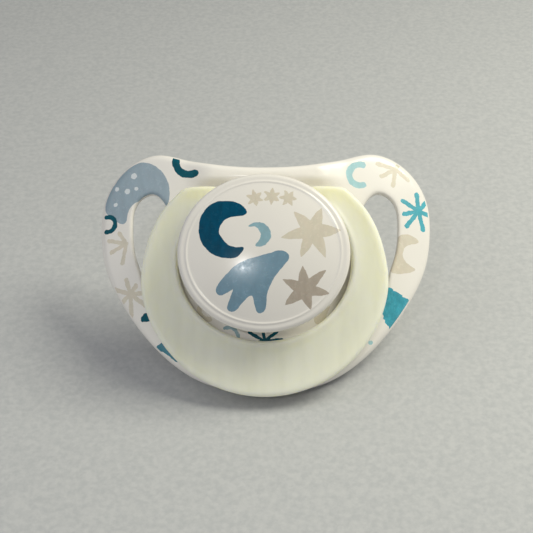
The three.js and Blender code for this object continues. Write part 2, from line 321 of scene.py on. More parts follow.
def triangulate(domain, lines, step):
    """Small triangles over the domain, with its loops and the lines as edges.

    Returns the points, the triangles and, for each point, the numbers of the given points that it stands for.
    """
    coords, edges = [], []
    for line, closed in [*((loop, True) for loop in domain), *lines]:
        start, count = len(coords), len(line)
        coords.extend(map(tuple, line))
        edges.extend((start + i, start + (i + 1) % count) for i in range(count if closed else count - 1))
    tree = KDTree(len(coords))
    for i, (x, y) in enumerate(coords):
        tree.insert((x, y, 0), i)
    tree.balance()
    low, high = domain[0].min(axis=0), domain[0].max(axis=0)
    rows = np.arange(low[1], high[1], step * math.sqrt(3) / 2)
    grid = np.array([
        (x, y)
        for j, y in enumerate(rows)
        for x in np.arange(low[0] + (j % 2) * step / 2, high[0], step)
    ])
    grid = grid[within(grid, domain)]
    coords.extend((x, y) for x, y in grid if tree.find((x, y, 0))[2] > GRID_CLEARANCE * step)
    out, _, faces, origin, _, _ = delaunay_2d_cdt([Vector(c) for c in coords], edges, [], 0, SAME_POINT)
    flat = np.array([(v.x, v.y) for v in out])
    faces = [f for f in faces if len(f) == 3]
    keep = within(flat[np.array(faces)].mean(axis=1), domain)
    return flat, [f for f, kept in zip(faces, keep) if kept], origin


def open_loops(sides):
    """The closed loops of the sides that belong to one face only."""
    following = {a: b for a, b in sides if (b, a) not in sides}
    loops = []
    while following:
        first, here = next(iter(following.items()))
        loop = [first]
        following.pop(first)
        while here != first:
            loop.append(here)
            here = following.pop(here)
        loops.append(loop)
    return loops


def fill(skin, domain, height, step, lines=(), known=(), prints=(), bare=None):
    """Fills the domain, an outer loop and its holes, with small triangles at the given height.

    The lines become edges. Where known gives the skin's own points for each loop of the domain, those are
    used. Each print is an ink's number and its outline, and bare tells where no print reaches. Returns the
    loops round the filled surface.
    """
    outlines = [(outline, True) for _, outline in prints]
    flat, faces, origin = triangulate(domain, [*lines, *outlines], step)
    middle = flat[np.array(faces)].mean(axis=1)
    ink = np.zeros(len(faces), int)
    for number, outline in prints:
        ink[inside(middle, outline)] = number
    if bare:
        ink[bare(middle)] = 0
    shared = [index for loop in known for index in loop]
    ready = {
        i: shared[source] for i, sources in enumerate(origin) for source in sources if source < len(shared)
    }
    used = sorted({i for face in faces for i in face if i not in ready})
    ready.update(zip(used, skin.lift(flat[used], height(flat[used]))))
    sides = {}
    for face, number in zip(faces, ink):
        corners = [ready[i] for i in face]
        skin.face(corners, int(number))
        sides.update(dict.fromkeys(zip(corners, corners[1:] + corners[:1])))
    return open_loops(sides)


def soften(profile, steps=5):
    """A profile of (radius, z, fillet) corners with each corner rounded."""
    out = []
    for i, (r, z, fillet) in enumerate(profile):
        here = np.array([r, z], float)
        if fillet == 0 or i in (0, len(profile) - 1):
            out.append(here)
            continue
        to_last = np.array(profile[i - 1][:2], float) - here
        to_next = np.array(profile[i + 1][:2], float) - here
        start = here + to_last / np.linalg.norm(to_last) * fillet
        end = here + to_next / np.linalg.norm(to_next) * fillet
        out.extend(bezier(start, here, end, t) for t in np.linspace(0, 1, steps + 1))
    return out


def lathe(skin, profile, squash, count=128):
    """Turns a profile of (radius, z) about the z axis; squash(radius) is what y is multiplied by.

    The profile starts and ends on the axis.
    """
    angles = np.arange(count) * FULL_TURN / count
    start = skin.add([(0, 0, profile[0][1])])[0]
    rings = []
    for r, z in profile[1:-1]:
        rings.append(skin.add([(r * math.cos(a), r * math.sin(a) * squash(r), z) for a in angles]))
    end = skin.add([(0, 0, profile[-1][1])])[0]
    skin.fan(rings[0], start)
    skin.chain(rings)
    skin.fan(rings[-1], end)


# ---------------- materials


NOISE_RANGE = (0.3, 0.7)  # nearly all of a noise's values lie between these


class Finish:
    """A node material with varied colour, varied roughness and fine relief."""

    def __init__(self, name):
        self.material = bpy.data.materials.new(name)
        self.material.use_nodes = True
        self.nodes = self.material.node_tree.nodes
        self.links = self.material.node_tree.links
        self.shader = self.nodes["Principled BSDF"]
        self.coords = self.nodes.new("ShaderNodeTexCoord").outputs["Object"]

    def set(self, **values):
        for name, value in values.items():
            self.shader.inputs[name.replace("_", " ")].default_value = value

    def own_axes(self, stretch=(1, 1, 1), turn=0.0):
        """A point's place along the pacifier's own axes."""
        mapping = self.nodes.new("ShaderNodeMapping")
        mapping.inputs["Rotation"].default_value = (-LEAN, 0, turn)
        mapping.inputs["Scale"].default_value = stretch
        self.links.new(self.coords, mapping.inputs["Vector"])
        return mapping.outputs["Vector"]

    def ranged(self, value, start, end, low, high):
        """The value, with start to end spread over low to high."""
        spread = self.nodes.new("ShaderNodeMapRange")
        for name, number in (("From Min", start), ("From Max", end), ("To Min", low), ("To Max", high)):
            spread.inputs[name].default_value = number
        self.links.new(value, spread.inputs["Value"])
        return spread.outputs["Result"]

    def noise(self, scale, detail=3, rough=0.55, **axes):
        """Noise with features of about 1/scale metres, along the pacifier's own axes."""
        noise = self.nodes.new("ShaderNodeTexNoise")
        noise.inputs["Scale"].default_value = scale
        noise.inputs["Detail"].default_value = detail
        noise.inputs["Roughness"].default_value = rough
        self.links.new(self.own_axes(**axes), noise.inputs["Vector"])
        return noise.outputs["Fac"]

    def colour(self, noise, stops):
        """The noise as a colour, from stops of (noise value, colour)."""
        ramp = self.nodes.new("ShaderNodeValToRGB")
        elements = ramp.color_ramp.elements
        while len(elements) < len(stops):
            elements.new(0.5)
        for element, (place, colour) in zip(elements, stops):
            element.position = place
            element.color = (*colour, 1)
        self.links.new(noise, ramp.inputs["Fac"])
        return ramp.outputs["Color"]

    def up(self, low, high):
        """How far up the pacifier a point lies: 0 at low, 1 at high, both in millimetres."""
        split = self.nodes.new("ShaderNodeSeparateXYZ")
        self.links.new(self.own_axes(), split.inputs["Vector"])
        zero = (hinge_place @ TURN)[1] - HINGE[1] * MM
        return self.ranged(split.outputs["Y"], zero + low * MM, zero + high * MM, 0, 1)

    def blend(self, share, first, second):
        """The first colour where the share is 0, the second where it is 1."""
        mix = self.nodes.new("ShaderNodeMix")
        mix.data_type = "RGBA"
        sockets = {s.identifier: s for s in mix.inputs}
        self.links.new(share, sockets["Factor_Float"])
        self.links.new(first, sockets["A_Color"])
        self.links.new(second, sockets["B_Color"])
        return next(s for s in mix.outputs if s.identifier == "Result_Color")

    def base(self, colour):
        self.links.new(colour, self.shader.inputs["Base Color"])

    def roughness(self, noise, low, high):
        self.links.new(self.ranged(noise, *NOISE_RANGE, low, high), self.shader.inputs["Roughness"])

    def relief(self, noise, depth_mm, strength=1.0):
        bump = self.nodes.new("ShaderNodeBump")
        bump.inputs["Strength"].default_value = strength
        bump.inputs["Distance"].default_value = depth_mm * MM
        self.links.new(noise, bump.inputs["Height"])
        last = self.shader.inputs["Normal"]
        if last.is_linked:
            self.links.new(last.links[0].from_socket, bump.inputs["Normal"])
        self.links.new(bump.outputs["Normal"], last)


def linear(*display):
    """A colour on a 0-255 display scale as scene-linear numbers."""
    shares = [c / 255 for c in display]
    return tuple(c / 12.92 if c <= 0.04045 else ((c + 0.055) / 1.055) ** 2.4 for c in shares)


def shade(colour, factor):
    """The colour, darker or lighter."""
    return tuple(min(1.0, c * factor) for c in colour)


PLASTIC = linear(238, 234, 228)


def glossy_white(name, colour, rough):
    finish = Finish(name)
    cloud = finish.noise(70, detail=2)
    finish.base(finish.colour(cloud, [(0.35, shade(colour, 0.975)), (0.65, shade(colour, 1.015))]))
    finish.roughness(finish.noise(110, detail=1), rough - 0.03, rough + 0.03)
    finish.relief(finish.noise(160, detail=1), 0.012, 0.6)
    finish.relief(finish.noise(2600, detail=2), 0.0015, 0.5)
    finish.set(IOR=1.49)
    return finish.material


def ring_plastic():
    finish = Finish("ring_plastic")
    colour = linear(239, 238, 214)
    streaks = finish.noise(420, detail=3, stretch=(1, 0.05, 0.3))
    # Going up towards the bar under the button the colour turns yellower: painted bounce light and shade
    # between the button and the ring.
    plain, painted_bounce = (
        finish.colour(streaks, [(0.3, shade(c, 0.955)), (0.5, c), (0.7, shade(c, 1.03))])
        for c in (colour, linear(243, 238, 200))
    )
    finish.base(finish.blend(finish.up(9, 12.6), plain, painted_bounce))
    finish.roughness(finish.noise(300, detail=3, stretch=(1, 0.2, 0.5)), 0.34, 0.48)
    finish.relief(streaks, 0.01, 0.45)
    finish.relief(finish.noise(1800, detail=2), 0.002, 0.5)
    finish.set(Subsurface_Weight=0.85, Subsurface_Scale=0.005, IOR=1.47)
    finish.shader.inputs["Subsurface Radius"].default_value = (1.0, 0.95, 0.6)
    return finish.material


def silicone():
    finish = Finish("clear_silicone")
    cloud = finish.noise(120, detail=2)
    finish.base(finish.colour(cloud, [(0.35, linear(249, 246, 236)), (0.65, linear(253, 251, 244))]))
    finish.roughness(finish.noise(500, detail=3), 0.16, 0.26)
    finish.relief(finish.noise(220, detail=2), 0.01, 0.4)
    finish.set(Transmission_Weight=0.4, Subsurface_Weight=0.6, Subsurface_Scale=0.004, IOR=1.41)
    finish.shader.inputs["Subsurface Radius"].default_value = (1.0, 0.95, 0.85)
    return finish.material


def printed(name, display, mottle, dry, gloss):
    """Ink: a mottled colour with fine brush streaks."""
    finish = Finish(f"ink_{name}")
    colour = linear(*display)
    streaks = finish.noise(900, detail=5, rough=0.65, stretch=(1, 0.35, 0.6), turn=0.5)
    stops = [(0.3, shade(colour, 1 - mottle)), (0.5, colour), (0.72, shade(colour, 1 + 1.2 * mottle))]
    if dry:
        worn = tuple(c * (1 - dry) + white * dry for c, white in zip(colour, PLASTIC))
        stops.append((0.8, worn))
    finish.base(finish.colour(streaks, stops))
    finish.roughness(finish.noise(1200, detail=3), 0.19, 0.3)
    finish.relief(streaks, 0.004, 0.5)
    finish.set(Subsurface_Weight=0.05, Subsurface_Scale=0.0006, IOR=1.5, Specular_IOR_Level=gloss)
    return finish.material


# Each ink's colour on a display, how mottled it is, how far its driest strokes let the plastic show, and its
# gloss.
INKS = {
    "dark_teal": ((0, 70, 97), 0.2, 0, 0.15),
    "teal": ((4, 82, 98), 0.2, 0, 0.12),
    "turquoise": ((82, 172, 188), 0.12, 0.2, 0.5),
    "brushed": ((66, 158, 178), 0.26, 0.3, 0.5),
    "petrol": ((60, 128, 146), 0.14, 0, 0.5),
    "steel": ((110, 142, 161), 0.09, 0.12, 0.7),
    "moon": ((150, 168, 180), 0.06, 0, 0.5),
    "pale_blue": ((166, 206, 212), 0.05, 0, 0.5),
    "sky": ((136, 170, 181), 0.08, 0, 0.5),
    "beige": ((216, 208, 191), 0.05, 0.15, 0.5),
    "sand": ((207, 199, 182), 0.05, 0, 0.5),
    "brown": ((173, 162, 149), 0.08, 0, 0.5),
    "white": ((216, 222, 226), 0.02, 0, 0.5),
}
INK_NAMES = list(INKS)
inks = [printed(name, *look) for name, look in INKS.items()]
shield_white = glossy_white("shield_white", PLASTIC, 0.24)
button_white = glossy_white("button_white", linear(229, 225, 219), 0.2)
ring_cream = ring_plastic()
teat_silicone = silicone()

# ---------------- printed shapes


def arc(a, m, b, count=18):
    """Points on the circle through three points, from the first to the last."""
    a, m, b = (np.array(p, float) for p in (a, m, b))
    system = 2 * np.array([m - a, b - a])
    centre = np.linalg.solve(system, [m @ m - a @ a, b @ b - a @ a])
    radius = np.linalg.norm(a - centre)
    angle = [math.atan2(*(p - centre)[::-1]) for p in (a, m, b)]
    to_m, to_b = (angle[1] - angle[0]) % FULL_TURN, (angle[2] - angle[0]) % FULL_TURN
    sweep = to_b if to_m < to_b else to_b - FULL_TURN
    angles = angle[0] + np.linspace(0, sweep, count)
    return np.column_stack([centre[0] + radius * np.cos(angles), centre[1] + radius * np.sin(angles)])


EDGE_STEP = 0.22  # between two points of a print's edge
EDGE_WAVES = (5, 9, 16, 27)  # waves round a print, each weaker than the last


def wobble(loop, size):
    """The counter-clockwise loop with a slightly uneven, hand-cut edge."""
    loop = even(loop, EDGE_STEP)
    run = np.arange(len(loop)) / len(loop) * FULL_TURN
    shift = np.zeros(len(loop))
    for waves in EDGE_WAVES:
        shift += np.sin(run * waves + rng.uniform(0, FULL_TURN)) * size * (EDGE_WAVES[0] / waves) ** 0.5
    shift += rng.normal(0, size * 0.35, len(loop))
    return loop + inward(loop) * shift[:, None]


def blob(*points):
    """A smooth closed shape through the points."""
    return [spline(points, 10)]


def notch(centre, tip, other, waist):
    """Where two neighbouring petals part."""
    a, b = (tip - centre), (other - centre)
    way = a / np.linalg.norm(a) + b / np.linalg.norm(b)
    return centre + way / np.linalg.norm(way) * waist * (np.linalg.norm(a) + np.linalg.norm(b)) / 2


def star(centre, *tips, waist=0.42, bulge=0.1):
    """A flower of pointed petals; the waist is how near the middle the petals part."""
    centre = np.array(centre, float)
    tips = np.array(tips, float)
    loop = []
    for i, tip in enumerate(tips):
        before = notch(centre, tip, tips[i - 1], waist)
        after = notch(centre, tip, tips[(i + 1) % len(tips)], waist)
        for start, end in ((before, tip), (tip, after)):
            leg = end - start
            out = np.array([leg[1], -leg[0]])
            if out @ ((start + end) / 2 - (centre + tip) / 2) < 0:
                out = -out
            control = (start + end) / 2 + out * bulge
            loop.extend(bezier(start, control, end, t) for t in np.linspace(0, 1, 9)[:-1])
    return [np.array(loop)]


def stroke_end(middle, side, way, angles):
    """The rounded end of a stroke; side and way are half its width, across it and along it."""
    return [middle + side * math.cos(a) + way * math.sin(a) for a in angles]


def rays(centre, *ends, width=0.8):
    """Brush strokes from the middle outwards, each slightly narrower at its start."""
    centre = np.array(centre, float)
    strokes = []
    for end in ends:
        end = np.array(end, float)
        way = (end - centre) / np.linalg.norm(end - centre)
        side = np.array([-way[1], way[0]]) * width / 2
        start = centre - way * 0.3
        tip = stroke_end(end, side, way * width / 2, np.linspace(0, math.pi, 7))
        strokes.append(np.array([start - side * 0.85, start + side * 0.85, *tip])[::-1])
    return strokes


def band(*middle, width=1.2):
    """A stroke of even width along a curved line of three points."""
    line = arc(*middle)
    along = np.gradient(line, axis=0)
    along /= np.linalg.norm(along, axis=1)[:, None]
    side = np.column_stack([-along[:, 1], along[:, 0]]) * width / 2
    angles = np.linspace(0.4, 2.7, 5)
    last = stroke_end(line[-1], side[-1], along[-1] * width / 2, angles)
    first = stroke_end(line[0], -side[0], -along[0] * width / 2, angles)
    return [np.vstack([line + side, last, (line - side)[::-1], first])]


def dot(x, y, radius):
    return [circle(radius, 20) + (x, y)]


def turn(angle):
    """What a row of x and y is multiplied by to turn it about the origin."""
    return np.array(Matrix.Rotation(angle, 2))


def inked(entries, size=0.035, shift=0.0):
    """The prints as pairs of ink number and uneven outline, moved across by the shift."""
    prints = []
    for name, outlines in entries:
        for outline in outlines:
            outline = counter_clockwise(np.array(outline)) + (shift, 0)
            prints.append((INK_NAMES.index(name) + 1, wobble(outline, size)))
    return prints


SHIELD_PRINTS = inked([
    ("moon", blob(
        (-29.4, 9.6), (-28.6, 13), (-26.4, 16), (-23.4, 17.9), (-20.6, 17.6), (-18.3, 15.4), (-17.3, 12.6),
        (-17.9, 9.4), (-20.4, 11.2), (-23, 10.9), (-24.9, 9), (-25.7, 6.9), (-27.6, 7.6),
    )),
    ("white", dot(-24, 15.6, 0.55)), ("white", dot(-27.2, 13.4, 0.42)), ("white", dot(-25.2, 12.8, 0.52)),
    ("white", dot(-23.5, 13.2, 0.38)), ("white", dot(-27.4, 10.5, 0.4)),
    ("teal", band((-16.2, 18.2), (-15.1, 15.7), (-12.6, 15.4), width=1.35)),
    ("teal", band((-29.1, 8.3), (-27.4, 6.9), (-29.1, 5.6), width=0.85)),
    ("beige", rays((-25.2, 3.2), (-28.6, 3.9), (-28.1, 1.7), (-25.9, -0.4), (-26.6, 5.2), width=0.75)),
    ("beige", rays(
        (-24.3, -6), (-25.1, -3.4), (-23.3, -4.5), (-22.4, -5.9), (-21.6, -8), (-24.1, -9.7), (-26, -7.5),
        (-27.4, -5.0), width=0.85,
    )),
    ("teal", blob(
        (-22.3, -10.85), (-22.3, -10.3), (-21.9, -9.7), (-21.1, -9.4),
        (-20.2, -9.5), (-19.4, -10.7), (-20.9, -10.95),
    )),
    ("petrol", blob((-19.5, -15.6), (-18.8, -14.9), (-15.7, -15.5), (-15.7, -18.2), (-17.6, -16.8))),
], shift=0.2) + inked([
    ("pale_blue", band((17.6, 17.1), (15.1, 15.3), (17.6, 13.4), width=1.15)),
    ("beige", rays(
        (23.6, 16.7), (20.3, 17.5), (21, 15.2), (23.1, 13.6), (25.9, 14.9), (24.6, 18.2), width=0.8,
    )),
    ("turquoise", rays(
        (27.8, 9.2), (27.5, 12.3), (24.9, 10.9), (25.1, 8.5), (25.5, 6.3), (28.6, 5.8), (29.6, 8.6),
        (29.3, 11), width=0.85,
    )),
    ("beige", blob(
        (27.7, 3.6), (26.1, 4.7), (24.4, 4.6), (23.2, 2.5), (22.8, 0), (22.5, -2.1), (24.5, -2.4), (27, -1.4),
        (25.4, -0.4), (24.7, 1), (25.3, 2.5),
    )),
    ("pale_blue", dot(18.7, -14.8, 0.4)),
    ("beige", band((-11.3, -8.5), (-11.2, -10.1), (-9.6, -10.8), width=0.85)),
    ("sky", band((-7, -12.4), (-5.1, -12.8), (-4.6, -14), width=0.6)),
    ("teal", rays(
        (0, -14.7), (-2.6, -13.2), (-0.3, -12.4), (2.2, -13), (3, -14.4), (-2.9, -15.2), width=0.62,
    )),
    ("beige", blob((8.9, -11.6), (9, -10), (10.4, -8.7), (11.4, -8.6), (10.9, -10), (10.2, -11.4))),
]) + inked([
    ("brushed", blob(
        (21.9, -5.2), (23.6, -5.6), (24.8, -6.6), (25.9, -7.4), (24.6, -9.6), (22.6, -12.3), (21.5, -11.4),
        (20.8, -9.6), (21.4, -7),
    )),
], size=0.13)
BUTTON_PRINTS = inked([
    ("dark_teal", blob(
        (-3.1, 6.6), (-4.1, 8), (-6.7, 8.8), (-9.3, 8.2), (-11.1, 5.9), (-11.2, 2.7), (-9.4, -0.2),
        (-6.6, -1.2), (-4.3, -0.6), (-3.6, 0.6), (-5.3, 0.7), (-7, 1.8), (-7.9, 3.5), (-7.2, 5), (-5.6, 5.9),
    )),
    ("sky", blob(
        (-2.9, 4.2), (-1.7, 4.9), (-0.3, 4.7), (0.7, 3.8), (1, 2.8), (0.4, 1.4), (-0.7, 0.7), (-1.6, 0.9),
        (-0.9, 2.1), (-0.9, 3.3), (-1.7, 4.1),
    )),
    ("steel", blob(
        (3.3, -0.1), (4, -0.8), (3.7, -1.8), (2, -3.9), (0.8, -5.8), (0.2, -8.2), (-0.5, -10.4),
        (-1.1, -10.5), (-1.8, -9.4), (-2.2, -7.5), (-4.1, -9), (-5.6, -10.2), (-6.4, -9.9), (-6.3, -8.7),
        (-5.5, -6.4), (-7, -7.3), (-8, -7.4), (-8.4, -6.6), (-7.8, -5.3), (-6.6, -3.9), (-5.4, -2.8),
        (-2.7, -1.3), (0.7, -0.4),
    )),
    ("sand", star((8, 3.5), (4.8, 6.8), (9.6, 7.6), (13, 3.7), (10.2, -1.1), (6, -1.1), (2.7, 2.3))),
    ("brown", star(
        (6.6, -6.5), (6.3, -2.4), (10.3, -3.1), (10.9, -7.1), (7.7, -9.8), (3.2, -9.2), (2.9, -4.8),
    )),
    *(("sand", star((x, y), *(circle(1.6, 6) @ turned + (x, y)), waist=0.5)) for x, y, turned in (
        (-1.8, 9.2, turn(0.3)), (1.1, 9.5, turn(0.6)), (3.9, 9.2, turn(0.1)),
    )),
], shift=0.3)

# ---------------- shield

FACE_STEP, BACK_STEP = 0.62, 0.9  # sizes of the triangles
FACE_INSET = 0.05  # the face's triangles end this far from the outline
INK_LIMIT = 45  # no ink where the rounded outer edge is steeper, in degrees
EDGE_LINES = (32, 45, 58, 72, 90)  # how far round an edge the lines along it are, in degrees
BROW_LINES = (0, 0.14, 0.28, 0.42, 0.56, 0.7, 0.85, 1)  # how far up the brow's foot the lines across it are
MOUTH = BORE + 0.35  # radius at which the face turns down into the bore
ROOT = COLLAR + 0.9  # radius at which the collar runs out into the back


def plate(p):
    """Height of the curved plate's face, without its brow."""
    return -(p[:, 0] ** 2) / (2 * CURVE_ACROSS) - p[:, 1] ** 2 / (2 * CURVE_UP)


def face_height(p):
    up = smooth((p[:, 1] - BROW_FOOT) / BROW_RISE)
    across = 1 - smooth((np.abs(p[:, 0]) - BROW_HALF) / BROW_FADE)
    return plate(p) + BROW_HEIGHT * up * across


def back_height(p):
    return plate(p) - THICKNESS


def run_in(radius, angle):
    """How far in a rounded edge reaches at the angle, in degrees: 0 at its side, 90 at its top."""
    return radius * (1 - math.cos(math.radians(angle)))


class Rim:
    """An edge of the plate: its outline, which way the material lies, and its two edge radii."""

    def __init__(self, points, way, top, bottom, step):
        self.loop = even(counter_clockwise(spline(points)), step)
        self.normal = inward(self.loop) * way
        self.top = top
        self.bottom = bottom

    def at(self, inset):
        return self.loop + self.normal * inset

    def place(self, points):
        return feet(points, self.loop, self.normal)


def shield_rims():
    """The outer edge, then the right and the left vent's."""
    outer = Rim(mirrored(SHIELD_HALF), way=1, top=1.15, bottom=0.8, step=0.34)
    vents = [
        Rim([(x * side, y) for x, y in VENT], way=-1, top=0.7, bottom=0.55, step=0.3) for side in (1, -1)
    ]
    return [outer, *vents]


def rounded_face(rims):
    """The face's height, with the edges along the rims rounded off."""

    def height(p):
        z = face_height(p)
        for rim in rims:
            inset = np.clip(rim.place(p)[2], 0, rim.top)
            z -= rim.top - np.sqrt(np.maximum(rim.top**2 - (rim.top - inset) ** 2, 0))
        return z

    return height


def face_lines(rims):
    """Lines that the face's triangles follow: along its rounded edges and across the foot of the brow."""
    lines = [(rim.at(run_in(rim.top, angle)), True) for rim in rims for angle in EDGE_LINES]
    across = np.arange(-13.5, 13.6, 0.5)
    for share in BROW_LINES:
        up = np.full_like(across, BROW_FOOT + BROW_RISE * share)
        lines.append((np.column_stack([across, up]), False))
    return lines


# From the face through the bore and round the collar to the back: radius, height, and the surface from which
# the height is measured, where that isn't flat.
SEAT_PROFILE = [
    (BORE + 0.1, -0.08, face_height),
    (BORE, -0.35, face_height),
    (BORE, SEAT_FLOOR, None),
    (NECK_BORE, SEAT_FLOOR, None),
    (NECK_BORE, 0.35 - COLLAR_DEPTH, None),
    (NECK_BORE + 0.1, 0.1 - COLLAR_DEPTH, None),
    (NECK_BORE + 0.35, -COLLAR_DEPTH, None),
    (COLLAR_TIP - 0.7, -COLLAR_DEPTH, None),
    (COLLAR_TIP - 0.25, 0.12 - COLLAR_DEPTH, None),
    (COLLAR_TIP, 0.45 - COLLAR_DEPTH, None),
    (COLLAR, 1.6 - COLLAR_DEPTH, None),
    (COLLAR, -0.9, back_height),
    (COLLAR + 0.14, -0.45, back_height),
    (COLLAR + 0.42, -0.14, back_height),
    (ROOT, 0, back_height),
]


def add_seat(skin, loop):
    """Builds the bore and the collar from the face's loop. Returns the last ring and its flat places."""
    flat = skin.flat(loop)
    ways = flat / np.hypot(*flat.T)[:, None]
    rings = [loop]
    for radius, z, surface in SEAT_PROFILE:
        at = ways * radius
        rings.append(skin.lift(at, z + (surface(at) if surface else 0)))
    skin.chain(rings)
    return rings[-1], ways * ROOT


def add_edge(skin, loop, rim):
    """Builds the plate's edge from the face's loop. Returns the last ring and its flat places."""
    foot, normal, _ = rim.place(skin.flat(loop))
    rings = [loop]
    for angle in np.radians([8, 0]):
        at = foot + normal * rim.top * (1 - math.cos(angle))
        rings.append(skin.lift(at, face_height(at) - rim.top * (1 - math.sin(angle))))
    for angle in np.radians([0, 22, 45, 67, 90]):
        at = foot + normal * rim.bottom * (1 - math.cos(angle))
        rings.append(skin.lift(at, back_height(at) + rim.bottom * (1 - math.sin(angle))))
    skin.chain(rings)
    return rings[-1], foot + normal * rim.bottom


def make_shield():
    skin = Skin()
    rims = shield_rims()
    outer = rims[0]
    loops = fill(
        skin,
        [rim.at(FACE_INSET) for rim in rims] + [circle(MOUTH)],
        rounded_face(rims),
        FACE_STEP,
        lines=face_lines(rims),
        prints=SHIELD_PRINTS,
        bare=lambda p: outer.place(p)[2] < run_in(outer.top, INK_LIMIT),
    )
    ends = []
    for loop in sorted(loops, key=len, reverse=True):
        flat = skin.flat(loop)
        if abs(np.hypot(*flat.T).mean() - MOUTH) < 0.2:
            seat = add_seat(skin, loop)
        else:
            rim = min(rims, key=lambda r: np.abs(r.place(flat)[2] - FACE_INSET).mean())
            ends.append(add_edge(skin, loop, rim))
    ends.sort(key=lambda end: -abs(area(end[1])))
    ends.append(seat)
    fill(skin, [flat for _, flat in ends], back_height, BACK_STEP, known=[ring for ring, _ in ends])
    skin.build("shield_shell", [shield_white, *inks], "body", replaces=("shield",), crease=50)


SADDLE_X, SADDLE_HALF_WIDTH, SADDLE_BEVEL = 5.2, 1.2, 0.12
SADDLE_Y = HINGE[1] + 0.15
SADDLE_REACH = 2.15  # from its middle to its lower and upper side
SADDLE_FOOT, SADDLE_TOP = -1.4, 1.8  # the foot is sunk into the shield
GROOVE = BAR_RADIUS + 0.3


def saddle_section(bevel):
    """The block's section as (y, z), with its outside cut back and its groove opened by the bevel."""
    middle = np.array([SADDLE_Y, 0.2])
    low, high = SADDLE_Y - SADDLE_REACH, SADDLE_Y + SADDLE_REACH
    radius = GROOVE + bevel

    def cut(*corners):
        return (np.array(corners) - middle) * (1 - bevel / SADDLE_REACH) + middle

    angles = np.linspace(0, math.pi, 25)
    return np.vstack([
        cut((low, SADDLE_FOOT), (high, SADDLE_FOOT)),
        cut((high, SADDLE_TOP - 0.5), (high - 0.15, SADDLE_TOP - 0.15), (high - 0.35, SADDLE_TOP)),
        [(HINGE[1] + radius * math.cos(a), HINGE[2] - radius * math.sin(a)) for a in angles],
        cut((low + 0.15, SADDLE_TOP), (low, SADDLE_TOP - 0.2)),
    ])


def make_saddles():
    """The two grooved blocks in which the ring's bar turns."""
    skin = Skin()
    end, flat = SADDLE_HALF_WIDTH, SADDLE_HALF_WIDTH - SADDLE_BEVEL
    for side in (-1, 1):
        rings = []
        for across, bevel in ((-end, SADDLE_BEVEL), (-flat, 0), (flat, 0), (end, SADDLE_BEVEL)):
            section = saddle_section(bevel)
            x = np.full(len(section), side * SADDLE_X + across)
            rings.append(skin.add(np.column_stack([x, section])))
        skin.chain(rings)
        skin.face(rings[0])
        skin.face(rings[-1])
    skin.build("hinge_saddles", [shield_white], "body")


# ---------------- ring


BAND_HALF = 1.1  # half of the band's thickness
BAND_CORNER = 0.5  # radius of its four corners
RING_STATIONS, RING_SMOOTHING = 420, 6
LIP_HEIGHT, RIM_HEIGHT, DISH_DEPTH = 0.24, 0.1, 0.28  # the raised inner and outer edges and the dish between
BAR_HALF, BAR_FADE = 6.9, 1.3  # half of the round bar's length, and how soon it is the band again
STRIP_HALF, STRIP_FADE = 16, 6  # no dish in the strip at the top: half its width, and its fade at the ends


def ring_middle(p):
    """Height of the band's middle surface."""
    out = np.maximum(0, np.abs(p[:, 0]) - RING_FLAT)
    return HINGE[2] - out**2 / (2 * RING_CURVE) - RING_SLOPE * (HINGE[1] - p[:, 1])


def ring_loops():
    """The ring's outer outline and its hole."""
    hole = circle(1, 400) * (RING_HOLE["half_width"], RING_HOLE["half_height"]) + (0, RING_HOLE["middle"])
    hole[:, 1] = np.minimum(hole[:, 1], RING_HOLE["top"])
    return spline(mirrored(RING_HALF)), hole


def reach(loop, angles):
    """How far the loop is from the middle of the ring's hole along each angle."""
    flat = loop - (0, RING_HOLE["middle"])
    turned = np.arctan2(flat[:, 1], flat[:, 0]) % FULL_TURN
    order = np.argsort(turned)
    return np.interp(angles, turned[order], np.hypot(*flat.T)[order], period=FULL_TURN)


def band_section(inner, outer):
    """A plain section of the band: distances from the hole's middle and heights."""
    quarter = np.linspace(0, math.pi / 2, 6)
    along, rise = BAND_CORNER * np.cos(quarter), BAND_HALF - BAND_CORNER + BAND_CORNER * np.sin(quarter)
    low, high = inner + BAND_CORNER, outer - BAND_CORNER
    top = low + (high - low) * np.linspace(0, 1, 22)[1:-1]
    bottom = low + (high - low) * np.linspace(1, 0, 12)[1:-1]
    u = np.r_[low - along, top, (high + along)[::-1], high + along, bottom, (low - along)[::-1]]
    z = np.r_[
        rise, np.full(len(top), BAND_HALF), rise[::-1], -rise, np.full(len(bottom), -BAND_HALF), -rise[::-1]
    ]
    return u, z


def ring_section(angle, inner, outer):
    """The section at one angle round the hole: dished, or drawn in to the round bar under the button."""
    way = np.array([math.cos(angle), math.sin(angle)])
    middle = RING_HOLE["middle"]
    u, z = band_section(inner, outer)
    flat = way * u[:, None] + (0, middle)
    share = np.clip((u - inner) / (outer - inner), 0, 1)
    top = np.clip((z + BAND_HALF) / (2 * BAND_HALF), 0, 1) ** 2
    lip = LIP_HEIGHT * hump(u - inner, 0.7, 0.5)
    rim = RIM_HEIGHT * hump(outer - u, 0.8, 0.6)
    dish = DISH_DEPTH * (4 * share * (1 - share)) ** 1.5
    strip = max(0.0, way[1]) * smooth((STRIP_HALF - np.abs(flat[:, 0])) / STRIP_FADE)
    z = z + top * (lip + rim - dish) * (1 - strip) + ring_middle(flat)
    if way[1] <= 0.5:
        return np.column_stack([flat, z])
    beside = abs(way[0] / way[1]) * (HINGE[1] - middle)
    bar = 1 - smooth((beside - BAR_HALF) / BAR_FADE)
    spin = np.arctan2(z - HINGE[2], u * way[1] + middle - HINGE[1])
    u_bar = (HINGE[1] + BAR_RADIUS * np.cos(spin) - middle) / way[1]
    z_bar = HINGE[2] + BAR_RADIUS * np.sin(spin)
    u = u * (1 - bar) + u_bar * bar
    return np.column_stack([way * u[:, None] + (0, middle), z * (1 - bar) + z_bar * bar])


